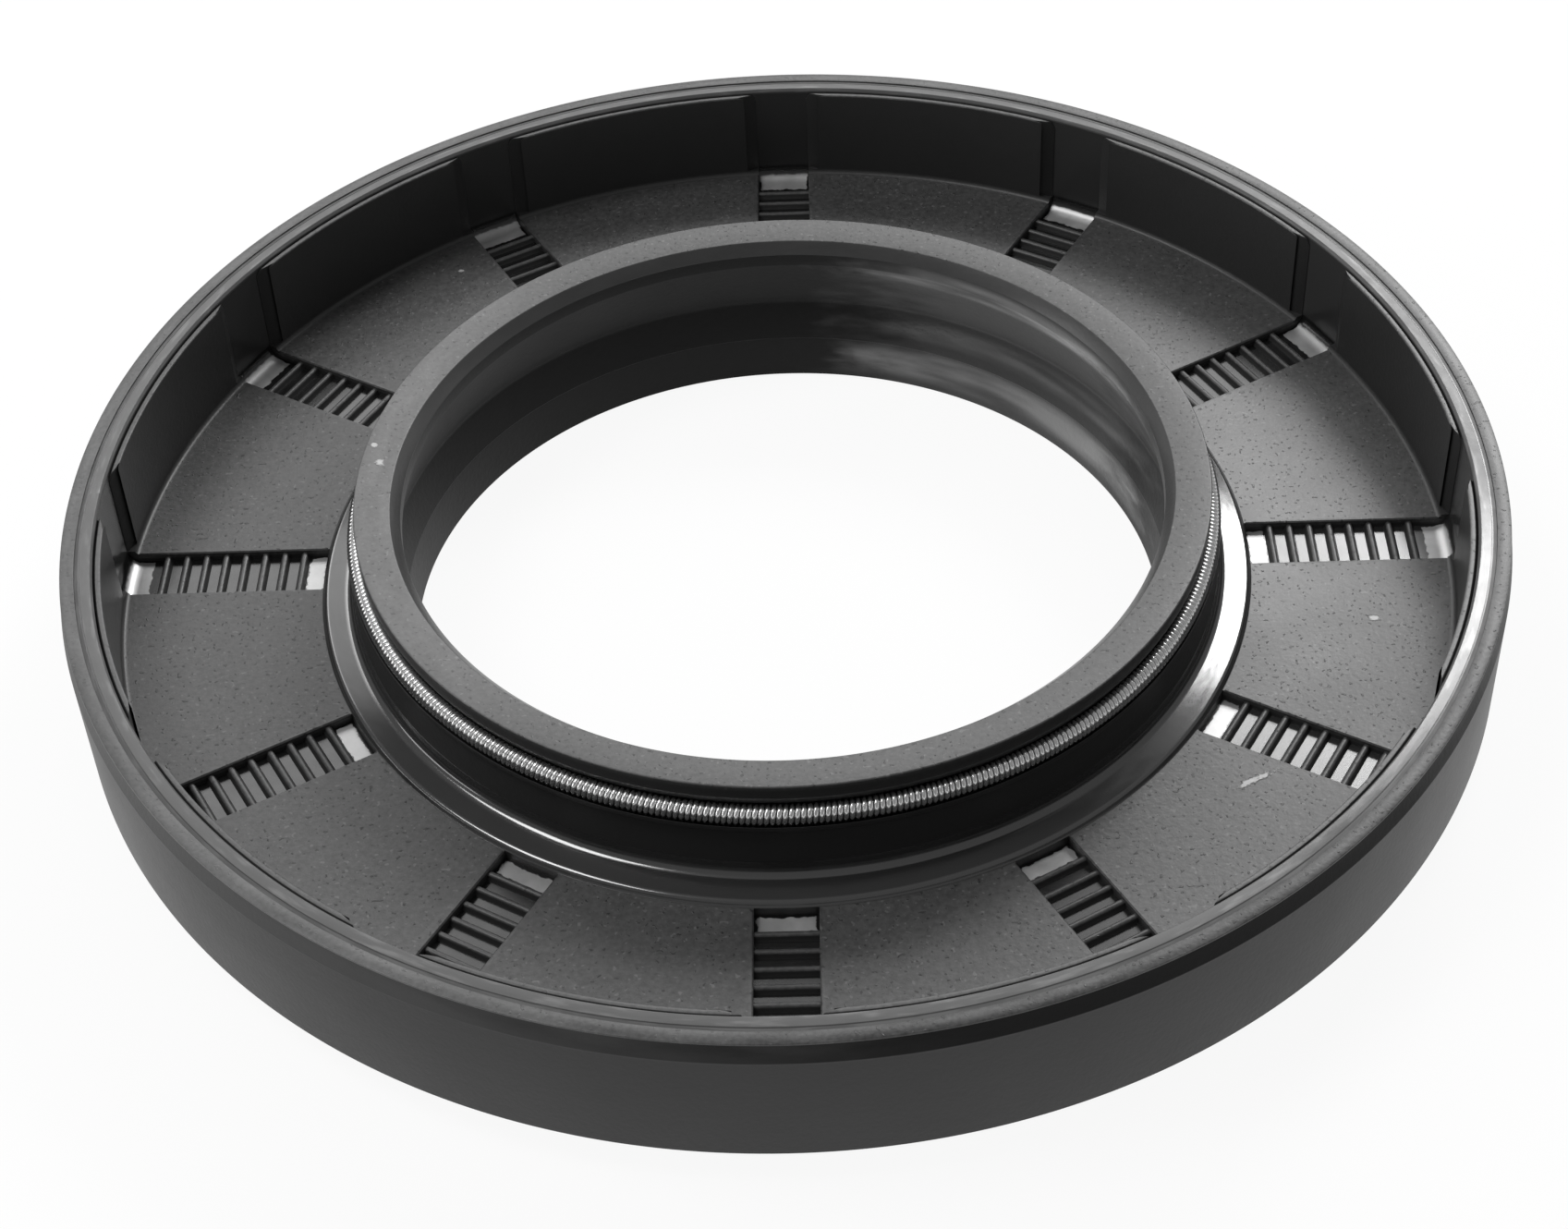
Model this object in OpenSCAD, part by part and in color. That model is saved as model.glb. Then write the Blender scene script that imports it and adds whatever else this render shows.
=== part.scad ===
// Radial shaft seal with a rubber-covered steel case, a spring-loaded sealing lip and a dust lip.
// It lies on its back face: z = 0 is the air side, +Z the oil side, and the axis is the Z axis.

/* [Seal] */
// Diameter of the shaft that the lips run on
shaft_d = 55; // [50:0.5:60]
// Outside diameter, which is pressed into the housing
outside_d = 100; // [94:0.5:120]
// Overall width, from the back face to the rim
width = 13; // [12:0.5:18]

/* [Steel case] */
// Thickness of the pressed steel sheet
case_t = 1.2; // [0.8:0.1:1.5]
// Inside radius of the bend between the case's wall and its flange
bend_r = 1.2; // [0.6:0.1:2]
// Radial distance from the shaft to the hole in the flange
flange_hole_gap = 3.5; // [2.8:0.1:4.5]
// Width of the bevel on the inner corner of the case's cut edge
edge_bevel_w = 0.15; // [0.1:0.05:0.5]
// Height of the same bevel
edge_bevel_h = 0.2; // [0.1:0.05:0.6]
// Width of the open gap between the cut edge and the rubber cover
edge_gap_w = 0.35; // [0.1:0.05:0.5]
// Depth of the same gap
edge_gap_h = 0.15; // [0.1:0.05:0.4]

/* [Rubber cover] */
// Thickness of the rubber outside the case's wall
cover_t = 1.2; // [0.9:0.1:2]
// Thickness of the rubber lining inside the case's wall
lining_t = 0.55; // [0.3:0.05:1]
// How far the top of the lining lies below the rim
lining_drop = 0.28; // [0.1:0.02:0.6]
// Thickness of the rubber under the flange
back_t = 3.3; // [2.6:0.1:4]
// Thickness of the rubber over the flange, which is also the depth of the pockets
floor_t = 0.7; // [0.4:0.05:1.2]
// Radius between the lining and the floor
floor_fillet = 0.4; // [0.1:0.05:0.6]
// Height of the lead-in chamfer on the back corner
chamfer_h = 2.8; // [1:0.1:3.5]
// Width of the same chamfer
chamfer_w = 2.1; // [1:0.1:3]
// How far the rim stands back from the outside diameter
rim_setback = 0.23; // [0:0.01:0.4]
// Height of the rim's outer edge
rim_edge_h = 0.15; // [0.1:0.05:0.4]
// Depth of the recess that runs around the wall under the rim
rim_recess_d = 0.55; // [0.45:0.05:0.7]
// Height from the lower end of that recess to the rim
rim_recess_h = 1.58; // [1.2:0.02:2]

/* [Pockets] */
// Number of pockets around the floor
pocket_n = 12; // [6:1:16]
// Width of a pocket, and of the channel that goes on up the lining
pocket_w = 4.15; // [2.5:0.05:6]
// How much wider the channel is at the top of the lining
channel_flare = 0.65; // [0:0.05:1]
// Distance between two cross ribs in a pocket
rib_pitch = 1.42; // [1:0.02:2.5]
// Thickness of a cross rib
rib_t = 0.4; // [0.2:0.05:0.6]
// Height of a cross rib above the bare flange
rib_h = 0.4; // [0.25:0.05:0.65]

/* [Sealing lip] */
// How much smaller the free sealing lip is than the shaft, across the diameter
lip_squeeze = 1.8; // [0.5:0.1:3]
// Length of the land at the sealing edge
lip_land = 1; // [0.5:0.1:1.5]
// Width of the chamfer between the land and the head's top face
lip_chamfer_w = 0.67; // [0.4:0.01:1.1]
// Height of the same chamfer
lip_chamfer_h = 0.8; // [0.4:0.05:1.1]
// Radial width of the lip's head
head_w = 3.17; // [2.8:0.01:3.6]
// Rise of the head's top face from its inner to its outer edge
head_rise = 0.2; // [0:0.02:0.4]
// Height of the head's outer face
head_t = 1.03; // [0.8:0.01:1.3]
// Radial distance from the shaft to the waist between the two lips
waist_gap = 0.7; // [0.3:0.05:1.1]
// Height of the waist above the back face
waist_z = 6.3; // [5.5:0.1:7]
// Outside radius of the neck at its foot, measured from the shaft
neck_gap = 3.15; // [2.9:0.05:3.4]
// How much the neck narrows from its foot to the spring groove
neck_taper = 0.45; // [0.2:0.05:0.7]

/* [Ledge] */
// Width of the glossy ledge around the foot of the neck
ledge_w = 1.95; // [1.4:0.05:2.6]
// Height of the ledge above the floor, at the neck
ledge_h = 0.72; // [0.5:0.02:1]
// How much the ledge falls from the neck to its outer edge
ledge_fall = 0.3; // [0:0.05:0.4]
// Width of the slope from the ledge down to the floor
ledge_slope = 0.35; // [0.2:0.05:0.6]
// Radius at the foot of the neck
foot_r = 0.45; // [0.3:0.05:0.8]

/* [Garter spring] */
// Outside diameter of the spring's coil
spring_coil_d = 1.56; // [1.4:0.02:1.7]
// Radial distance from the sealing edge to the middle of the spring's coil
spring_offset = 3.14; // [3:0.02:3.3]
// Height from the middle of the coil up to the rim
spring_drop = 2.5; // [2.4:0.02:2.7]
// Clearance around the spring in its groove
spring_clearance = 0.05; // [0.02:0.01:0.1]
// How far the lip under the groove reaches out past the middle of the coil
keeper_reach = 0.74; // [0.7:0.02:0.9]
// Height of that lip's outer face
keeper_t = 0.35; // [0.2:0.05:0.6]

/* [Dust lip] */
// How much smaller the free dust lip is than the shaft, across the diameter
dust_squeeze = 1.4; // [0.4:0.1:2]
// Height of the dust lip
dust_lip_h = 3.3; // [2.4:0.1:3.8]
// Thickness of the dust lip at its tip
dust_tip_t = 0.5; // [0.3:0.05:0.8]
// How much the bore narrows to the root of the dust lip, measured from the shaft's radius
dust_root_gap = 0.3; // [0.1:0.05:0.5]
// Size of the small step under the root of the dust lip
dust_step = 0.15; // [0.05:0.05:0.25]
// How far the tip of the dust lip stays above the back face
dust_tip_lift = 0.15; // [0:0.05:0.4]
// Depth of the relief behind the dust lip
relief_h = 1.9; // [1:0.1:2.2]
// Width of the relief at its roof
relief_w = 1.5; // [0.8:0.1:2]

/* [Hidden] */
$fn = 180;

// A cut reaches this far past the faces that it opens
over = 1;

// Radii
shaft_r = shaft_d / 2;
outside_r = outside_d / 2;
case_outer_r = outside_r - cover_t;
case_inner_r = case_outer_r - case_t;
lining_r = case_inner_r - lining_t;
flange_hole_r = shaft_r + flange_hole_gap;
rim_r = outside_r - rim_setback;
lip_r = shaft_r - lip_squeeze / 2;
head_r = lip_r + head_w;
waist_r = shaft_r + waist_gap;
neck_r = shaft_r + neck_gap;
ledge_r = neck_r + ledge_w;
pocket_inner_r = ledge_r + ledge_slope;
spring_r = lip_r + spring_offset;
dust_root_r = shaft_r - dust_root_gap;
dust_tip_r = shaft_r - dust_squeeze / 2;

// Heights
flange_top = back_t + case_t;
floor_z = flange_top + floor_t;
ledge_z = floor_z + ledge_h;
lining_top = width - lining_drop;
spring_z = width - spring_drop;
head_inner_z = width - head_rise;
head_bottom = width - head_t;
land_top = head_inner_z - lip_chamfer_h;
land_bottom = land_top - lip_land;
dust_root_z = dust_tip_lift + dust_lip_h;

// Spring groove: its section is the coil's with the clearance, and it touches the coil on the inside.
// The head's underside runs into the groove at its top angle, above the middle of the coil
groove_r = spring_coil_d / 2 + spring_clearance;
groove_x = spring_r + spring_clearance;
groove_top_angle = 120;
keeper_r = groove_x + keeper_reach;
keeper_top = spring_z - groove_r / 2;
keeper_bottom = keeper_top - keeper_t;
neck_top_r = neck_r - neck_taper;

// Cross ribs fill the pocket between its inner end and the bend of the case
rib_first_r = pocket_inner_r + 1.25 * rib_pitch;
rib_last_limit = case_inner_r - bend_r - 0.8 * rib_pitch;
rib_n = floor((rib_last_limit - rib_first_r) / rib_pitch) + 1;

// Quarter-round filling of an inside corner at [x, y], opening towards [dx, dy]
module cove(x, y, r, dx, dy) {
    translate([x, y])
        scale_quadrant(dx, dy)
            difference() {
                square([r, r]);
                translate([r, r]) circle(r = r);
            }
}

// Turns a shape drawn in the first quadrant into the quadrant [dx, dy]
module scale_quadrant(dx, dy) {
    mirror([dx < 0 ? 1 : 0, 0])
        mirror([0, dy < 0 ? 1 : 0])
            children();
}

// Half section of the steel sheet: wall, bend and flange, with the square edge that the rubber is moulded to
module sheet_section() {
    bend_x = case_inner_r - bend_r;
    bend_z = flange_top + bend_r;
    translate([case_inner_r, bend_z]) square([case_t, width - bend_z]);
    translate([flange_hole_r, back_t]) square([bend_x - flange_hole_r, case_t]);
    intersection() {
        translate([bend_x, bend_z])
            difference() {
                circle(r = bend_r + case_t);
                circle(r = bend_r);
            }
        translate([bend_x, back_t]) square([bend_r + case_t, bend_r + case_t]);
    }
}

// Half section of the case: the sheet with both corners of its cut edge taken off
module case_section() {
    difference() {
        sheet_section();
        polygon([
            [case_inner_r, width - edge_bevel_h],
            [case_inner_r + edge_bevel_w, width],
            [case_inner_r, width]
        ]);
        polygon([
            [case_outer_r, width - edge_gap_h],
            [case_outer_r, width],
            [case_outer_r - edge_gap_w, width]
        ]);
    }
}

// Outer wall, back and floor of the rubber, from the neck outwards
module cover_outline() {
    recess_r = outside_r - rim_recess_d;
    rim_bottom = width - rim_edge_h;
    polygon([
        [waist_r, 0],
        [outside_r - chamfer_w, 0],
        [outside_r, chamfer_h],
        [outside_r, width - rim_recess_h],
        [recess_r, rim_bottom - (rim_r - recess_r)],
        [rim_r, rim_bottom],
        [rim_r, width],
        [case_outer_r - case_t / 2, width],
        [case_outer_r - case_t / 2, lining_top],
        [lining_r, lining_top],
        [lining_r, floor_z],
        [pocket_inner_r, floor_z],
        [ledge_r, ledge_z - ledge_fall],
        [neck_r, ledge_z],
        [waist_r, ledge_z]
    ]);
    cove(lining_r, floor_z, floor_fillet, -1, 1);
}

// Neck, spring groove, head and bore side of the two lips
module lip_outline() {
    polygon([
        [head_r, width],
        [lip_r + lip_chamfer_w, head_inner_z],
        [lip_r, land_top],
        [lip_r, land_bottom],
        [waist_r, waist_z],
        [dust_root_r, dust_root_z],
        [dust_root_r + dust_step, dust_root_z - dust_step],
        [dust_tip_r, dust_tip_lift],
        [dust_tip_r + dust_tip_t, dust_tip_lift],
        [waist_r, dust_tip_lift + dust_tip_t],
        [neck_r, dust_tip_lift + dust_tip_t],
        [neck_r, ledge_z + foot_r],
        [neck_top_r, keeper_bottom - (keeper_r - neck_top_r)],
        [keeper_r, keeper_bottom],
        [keeper_r, keeper_top],
        [groove_x, spring_z],
        [groove_x + 0.9 * groove_r * cos(groove_top_angle), spring_z + 0.9 * groove_r * sin(groove_top_angle)],
        [head_r, head_bottom]
    ]);
    cove(neck_r, ledge_z, foot_r, 1, 1);
}

// Relief in the back face that lets the dust lip flex
module relief_outline() {
    root_r = dust_tip_r + dust_tip_t;
    polygon([
        [root_r, -over],
        [root_r, dust_tip_lift],
        [root_r + relief_h / 2, relief_h],
        [root_r + relief_h / 2 + relief_w, relief_h],
        [root_r + relief_h + relief_w, 0],
        [root_r + relief_h + relief_w, -over]
    ]);
}

module rubber_section() {
    difference() {
        union() {
            cover_outline();
            lip_outline();
        }
        translate([groove_x, spring_z]) circle(r = groove_r);
        relief_outline();
        sheet_section();
    }
}

// Pocket in the floor, from the ledge to the case's wall, with its channel up the lining
module pocket_cut() {
    length = case_inner_r + case_t / 2;
    difference() {
        union() {
            translate([0, -pocket_w / 2, flange_top]) cube([length, pocket_w, width]);
            translate([lining_r - over, 0, lining_top])
                rotate([90, 0, 90])
                    linear_extrude(height = length - lining_r + over)
                        flare_section();
        }
        translate([0, 0, -over]) cylinder(h = width + 2 * over, r = pocket_inner_r);
    }
}

// Section of the flare at the top of a channel: its sides lean outwards and go on past the lining's top
module flare_section() {
    half_w = pocket_w / 2;
    top_w = half_w + (channel_flare + over) / 2;
    polygon([
        [-half_w, -channel_flare],
        [half_w, -channel_flare],
        [top_w, over],
        [-top_w, over]
    ]);
}

// Cross rib with a round top, standing on the bare flange from one side of the pocket to the other
module rib() {
    translate([0, pocket_w / 2, flange_top])
        rotate([90, 0, 0])
            linear_extrude(height = pocket_w) {
                translate([-rib_t / 2, 0]) square([rib_t, rib_h - rib_t / 2]);
                translate([0, rib_h - rib_t / 2]) circle(r = rib_t / 2);
            }
}

module around_pockets() {
    for (i = [0 : pocket_n - 1])
        rotate([0, 0, i * 360 / pocket_n])
            children();
}

module metal_case() {
    color([0.62, 0.62, 0.63]) rotate_extrude() case_section();
}

module rubber_body() {
    color([0.13, 0.13, 0.135]) {
        difference() {
            rotate_extrude() rubber_section();
            around_pockets() pocket_cut();
        }
        around_pockets()
            for (i = [0 : rib_n - 1])
                translate([rib_first_r + i * rib_pitch, 0, 0]) rib();
    }
}

// The spring's coil as a closed ring of its outer shape
module garter_spring() {
    color([0.75, 0.75, 0.76])
        rotate_extrude()
            translate([spring_r, spring_z]) circle(r = spring_coil_d / 2);
}

metal_case();
rubber_body();
garter_spring();
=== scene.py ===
"""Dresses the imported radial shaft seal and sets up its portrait.

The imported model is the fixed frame. Three meshes stand for its solids: the moulded rubber with its
softened edges, the pressed steel case, and the garter spring as one closely wound wire. Lengths are
in metres, and the seal lies on its back face at z = 0 with the oil side up.
"""

from __future__ import annotations

import logging
import math
from dataclasses import dataclass, field
from enum import Enum
from typing import Any, Iterable, Sequence

import bmesh
import bpy
from mathutils import Matrix, Vector

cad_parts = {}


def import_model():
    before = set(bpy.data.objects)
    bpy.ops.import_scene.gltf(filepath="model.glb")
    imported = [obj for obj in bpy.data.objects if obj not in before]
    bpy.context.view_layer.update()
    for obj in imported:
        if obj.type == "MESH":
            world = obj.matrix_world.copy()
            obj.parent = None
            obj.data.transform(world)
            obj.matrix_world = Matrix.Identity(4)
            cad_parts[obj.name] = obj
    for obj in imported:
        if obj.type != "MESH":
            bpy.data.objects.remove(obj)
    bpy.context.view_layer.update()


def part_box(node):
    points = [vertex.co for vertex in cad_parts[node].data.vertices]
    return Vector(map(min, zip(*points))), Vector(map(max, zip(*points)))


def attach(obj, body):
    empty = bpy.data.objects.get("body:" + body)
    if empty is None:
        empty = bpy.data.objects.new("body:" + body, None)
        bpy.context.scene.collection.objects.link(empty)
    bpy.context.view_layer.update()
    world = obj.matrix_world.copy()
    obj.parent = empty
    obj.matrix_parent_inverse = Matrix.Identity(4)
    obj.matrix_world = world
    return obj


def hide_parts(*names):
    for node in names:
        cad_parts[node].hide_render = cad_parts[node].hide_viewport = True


LOG = logging.getLogger("shaft_seal")
MM = 0.001
UNROLL_R = 40.0  # radius at which an unrolled pattern keeps its length, in millimetres
CLEAR = 1.0  # how far a cutting tool reaches into the open, in millimetres
PAST = 0.05  # how far a tool goes past a face that it crosses, in millimetres
SLIVER = 0.02  # the same for the tool of a small bevel


class MaterialSlot(Enum):
    """The record's material slots."""

    RUBBER = "rubber"
    CASE = "case_steel"
    SPRING = "spring_steel"


@dataclass(frozen=True)
class Corner:
    """A corner of a turned outline.

    Attributes:
        r: Radius from the seal's axis, in millimetres.
        z: Height above the back face, in millimetres.
        fillet: Radius that rounds the corner, in millimetres.
        steps: Number of straight pieces in the rounding.
    """

    r: float
    z: float
    fillet: float = 0.0
    steps: int = 4


def rounded(corners: Sequence[Corner]) -> list[Vector]:
    """Lays out a closed outline with its corners rounded.

    Args:
        corners: The corners in order around the outline.

    Returns:
        Points in the XZ half plane, in metres.
    """
    points: list[Vector] = []
    for i, corner in enumerate(corners):
        here = Vector((corner.r, corner.z))
        if corner.fillet <= 0:
            points.append(here)
            continue
        before = corners[i - 1]
        after = corners[(i + 1) % len(corners)]
        back = (Vector((before.r, before.z)) - here).normalized()
        ahead = (Vector((after.r, after.z)) - here).normalized()
        half = back.angle(ahead) / 2
        centre = here + (back + ahead).normalized() * corner.fillet / math.sin(half)
        start = here + back * corner.fillet / math.tan(half) - centre
        turn = start.angle_signed(here + ahead * corner.fillet / math.tan(half) - centre)
        for step in range(corner.steps + 1):
            spoke = start.copy()
            spoke.rotate(Matrix.Rotation(-turn * step / corner.steps, 2))
            points.append(centre + spoke)
    return [Vector((p.x, 0, p.y)) * MM for p in points]


def arc(r: float, z: float, radius: float, start: float, end: float, steps: int) -> list[Corner]:
    """Lays corners along a circular arc of an outline.

    Args:
        r: Radius of the arc's centre from the axis, in millimetres.
        z: Height of the arc's centre, in millimetres.
        radius: The arc's own radius, in millimetres.
        start: Angle of the first corner, in degrees from outwards, counted upwards.
        end: Angle of the last corner.
        steps: Number of straight pieces.

    Returns:
        The corners in order.
    """
    angles = [math.radians(start + (end - start) * i / steps) for i in range(steps + 1)]
    return [Corner(r + radius * math.cos(a), z + radius * math.sin(a)) for a in angles]


def turned(outline: Sequence[Vector], steps: int) -> bmesh.types.BMesh:
    """Turns a closed outline around the seal's axis.

    Args:
        outline: Points of the closed outline in the XZ half plane.
        steps: Number of pieces around the axis.

    Returns:
        The closed ring as a bmesh.
    """
    bm = bmesh.new()
    verts = [bm.verts.new(p) for p in outline]
    edges = [bm.edges.new((verts[i - 1], verts[i])) for i in range(len(verts))]
    bmesh.ops.spin(
        bm, geom=verts + edges, cent=(0, 0, 0), axis=(0, 0, 1), angle=math.tau, steps=steps, use_merge=True
    )
    bmesh.ops.recalc_face_normals(bm, faces=bm.faces)
    return bm


def prism(outline: Sequence[Vector], along: Vector) -> bmesh.types.BMesh:
    """Extrudes a flat outline into a closed prism.

    Args:
        outline: Points of the flat outline in order.
        along: The extrusion's direction and length.

    Returns:
        The closed prism as a bmesh.
    """
    bm = bmesh.new()
    face = bm.faces.new([bm.verts.new(p) for p in outline])
    grown = bmesh.ops.extrude_face_region(bm, geom=[face], use_keep_orig=True)
    moved = [v for v in grown["geom"] if isinstance(v, bmesh.types.BMVert)]
    bmesh.ops.translate(bm, verts=moved, vec=along)
    bmesh.ops.recalc_face_normals(bm, faces=bm.faces)
    return bm


def new_object(name: str, bm: bmesh.types.BMesh) -> bpy.types.Object:
    """Makes a linked object of a bmesh and frees the bmesh.

    Args:
        name: Name of the object and its mesh.
        bm: The shape.

    Returns:
        The object, at the origin.
    """
    mesh = bpy.data.meshes.new(name)
    bm.to_mesh(mesh)
    bm.free()
    obj = bpy.data.objects.new(name, mesh)
    bpy.context.scene.collection.objects.link(obj)
    return obj


def repeated_around(bm: bmesh.types.BMesh, count: int) -> bmesh.types.BMesh:
    """Copies a shape evenly around the seal's axis.

    Args:
        bm: The shape at angle 0.
        count: Number of shapes in all.

    Returns:
        The same bmesh with all the copies.
    """
    first = list(bm.verts) + list(bm.edges) + list(bm.faces)
    for i in range(1, count):
        copy = bmesh.ops.duplicate(bm, geom=first)
        verts = [v for v in copy["geom"] if isinstance(v, bmesh.types.BMVert)]
        turn = Matrix.Rotation(math.tau * i / count, 3, "Z")
        bmesh.ops.rotate(bm, verts=verts, cent=(0, 0, 0), matrix=turn)
    return bm


class Join(Enum):
    """How one shape acts on another."""

    CUT = "DIFFERENCE"
    ADD = "UNION"


def combine(body: bpy.types.Object, tool: bpy.types.Object, join: Join) -> None:
    """Cuts a tool out of a body, or adds it, and deletes the tool.

    Args:
        body: The object whose mesh changes.
        tool: The closed shape that is used.
        join: Whether the tool is cut out or added.
    """
    modifier = body.modifiers.new(join.name.lower(), "BOOLEAN")
    modifier.operation = join.value
    modifier.solver = "MANIFOLD"
    modifier.object = tool
    seen = body.evaluated_get(bpy.context.evaluated_depsgraph_get())
    mesh = bpy.data.meshes.new_from_object(seen)
    body.modifiers.clear()
    mesh.materials.clear()
    old = body.data
    body.data = mesh
    mesh.name = body.name
    bpy.data.meshes.remove(old)
    bpy.data.meshes.remove(tool.data)


def smooth(obj: bpy.types.Object, crease: float) -> None:
    """Shades an object smooth, with sharp edges where faces meet at a larger angle.

    Args:
        obj: The object.
        crease: The smallest angle of a sharp edge, in degrees.
    """
    obj.data.shade_smooth()
    obj.data.set_sharp_from_angle(angle=math.radians(crease))


class Value:
    """A shader socket that takes part in arithmetic."""

    def __init__(self, graph: "Graph", socket: bpy.types.NodeSocket) -> None:
        """Wraps a socket of a graph."""
        self.graph = graph
        self.socket = socket

    def math(self, operation: str, *others: "Value | float") -> "Value":
        """Adds a Math node whose first input is this value.

        Args:
            operation: The node's operation.
            others: The node's other inputs.

        Returns:
            The node's result.
        """
        return self.graph.maths(operation, self, *others)

    def __add__(self, other: "Value | float") -> "Value":
        """Adds."""
        return self.math("ADD", other)

    __radd__ = __add__

    def __mul__(self, other: "Value | float") -> "Value":
        """Multiplies."""
        return self.math("MULTIPLY", other)

    __rmul__ = __mul__

    def __sub__(self, other: "Value | float") -> "Value":
        """Subtracts the other."""
        return self.math("SUBTRACT", other)

    def __rsub__(self, other: float) -> "Value":
        """Subtracts this from a number."""
        return self.graph.maths("SUBTRACT", other, self)

    def __pow__(self, other: float) -> "Value":
        """Raises to a power."""
        return self.math("POWER", other)


def either(first: Value, *others: Value) -> Value:
    """Joins masks.

    Args:
        first: A mask.
        others: The masks that are added to it.

    Returns:
        The largest of them at each place.
    """
    for mask in others:
        first = first.math("MAXIMUM", mask)
    return first


class Graph:
    """The node tree of one material, with short ways to add what the finishes share."""

    def __init__(self, name: str) -> None:
        """Starts an empty material of that name."""
        self.material = bpy.data.materials.new(name)
        self.material.use_nodes = True
        self.tree = self.material.node_tree
        self.tree.nodes.clear()
        place = self.node("ShaderNodeTexCoord").outputs["Object"]
        scale = {"Vector": Value(self, place), "Scale": 1 / MM}
        self.place = self.node("ShaderNodeVectorMath", {"operation": "SCALE"}, scale).outputs[0]
        axes = self.node("ShaderNodeSeparateXYZ", inputs={0: Value(self, self.place)})
        self.x, self.y, self.z = (Value(self, axes.outputs[i]) for i in range(3))
        self.radius = (self.x * self.x + self.y * self.y) ** 0.5
        self.angle = self.maths("ARCTAN2", self.y, self.x)

    def node(
        self,
        kind: str,
        settings: dict[str, Any] | None = None,
        inputs: dict[str | int, Any] | None = None,
    ) -> bpy.types.Node:
        """Adds a node.

        Args:
            kind: The node's type.
            settings: Its own settings, set before its sockets; stops are a colour ramp's.
            inputs: Values or links of its sockets.

        Returns:
            The node.
        """
        node = self.tree.nodes.new(kind)
        for key, value in (settings or {}).items():
            if key == "stops":
                ramp = node.color_ramp
                for element, (position, grey) in zip(ramp.elements, value):
                    element.position = position
                    element.color = (grey, grey, grey, 1)
            else:
                setattr(node, key, value)
        for key, value in (inputs or {}).items():
            if isinstance(value, Value):
                self.tree.links.new(value.socket, node.inputs[key])
            else:
                node.inputs[key].default_value = value
        return node

    def maths(self, operation: str, *terms: Value | float) -> Value:
        """Adds a Math node.

        Args:
            operation: The node's operation.
            terms: Its inputs in order.

        Returns:
            The node's result.
        """
        node = self.node("ShaderNodeMath", {"operation": operation}, dict(enumerate(terms)))
        return Value(self, node.outputs[0])

    def ramp(self, value: Value, low: float, high: float) -> Value:
        """Goes smoothly from 0 to 1 as a value goes from low to high.

        Args:
            value: The value that is read.
            low: Where the result is 0.
            high: Where the result is 1.

        Returns:
            The result.
        """
        inputs = {"Value": value, "From Min": low, "From Max": high}
        node = self.node("ShaderNodeMapRange", {"interpolation_type": "SMOOTHSTEP"}, inputs)
        return Value(self, node.outputs["Result"])

    def band(self, value: Value, low: float, high: float, soft: float) -> Value:
        """Is 1 between two limits and 0 outside them.

        Args:
            value: The value that is read.
            low: The lower limit.
            high: The upper limit.
            soft: Width of the change at each limit.

        Returns:
            The mask.
        """
        return self.ramp(value, low - soft, low + soft) * (1 - self.ramp(value, high - soft, high + soft))

    def noise(self, scale: float, detail: float = 2.0, where: Value | None = None) -> Value:
        """Reads a noise of about 0.5 on average.

        Args:
            scale: Cells per millimetre.
            detail: Number of finer layers.
            where: The place that is read, or the object's own.

        Returns:
            The noise's factor.
        """
        inputs = {"Vector": where or Value(self, self.place), "Scale": scale, "Detail": detail}
        return Value(self, self.node("ShaderNodeTexNoise", inputs=inputs).outputs[0])

    def rolled(self, around: float) -> Value:
        """Unrolls the place into angle, radius and height, so that a pattern runs around the axis.

        Args:
            around: How much the pattern is drawn out around the axis.

        Returns:
            The unrolled place.
        """
        inputs = {0: self.angle * (UNROLL_R / around), 1: self.radius, 2: self.z}
        return Value(self, self.node("ShaderNodeCombineXYZ", inputs=inputs).outputs[0])

    def grey(self, value: Value) -> Value:
        """Turns a number into a neutral colour.

        Args:
            value: The brightness.

        Returns:
            The colour.
        """
        node = self.node("ShaderNodeCombineColor", inputs={0: value, 1: value, 2: value})
        return Value(self, node.outputs[0])

    def bump(self, height: Value, depth: float, below: Value | None = None) -> Value:
        """Raises a surface by a height that is given in parts of a depth.

        Args:
            height: The height, from 0 to 1.
            depth: The depth, in millimetres.
            below: A normal that this one is laid on.

        Returns:
            The normal.
        """
        inputs: dict[str | int, Any] = {"Height": height, "Distance": depth * MM, "Strength": 1.0}
        if below is not None:
            inputs["Normal"] = below
        return Value(self, self.node("ShaderNodeBump", inputs=inputs).outputs[0])

    def shader(self, sockets: dict[str, Any]) -> Value:
        """Adds a Principled shader.

        Args:
            sockets: Values or links of the shader's sockets.

        Returns:
            The shader's output.
        """
        return Value(self, self.node("ShaderNodeBsdfPrincipled", inputs=sockets).outputs[0])

    def finish(
        self, first: Value, second: Value | None = None, share: Value | None = None
    ) -> bpy.types.Material:
        """Ends the material in one shader, or in a mix of two.

        Args:
            first: The shader.
            second: The shader that takes the first one's place.
            share: Where it does so.

        Returns:
            The material.
        """
        if second is not None and share is not None:
            mixed = self.node("ShaderNodeMixShader", inputs={0: share, 1: first, 2: second})
            first = Value(self, mixed.outputs[0])
        self.node("ShaderNodeOutputMaterial", inputs={"Surface": first})
        return self.material


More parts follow.
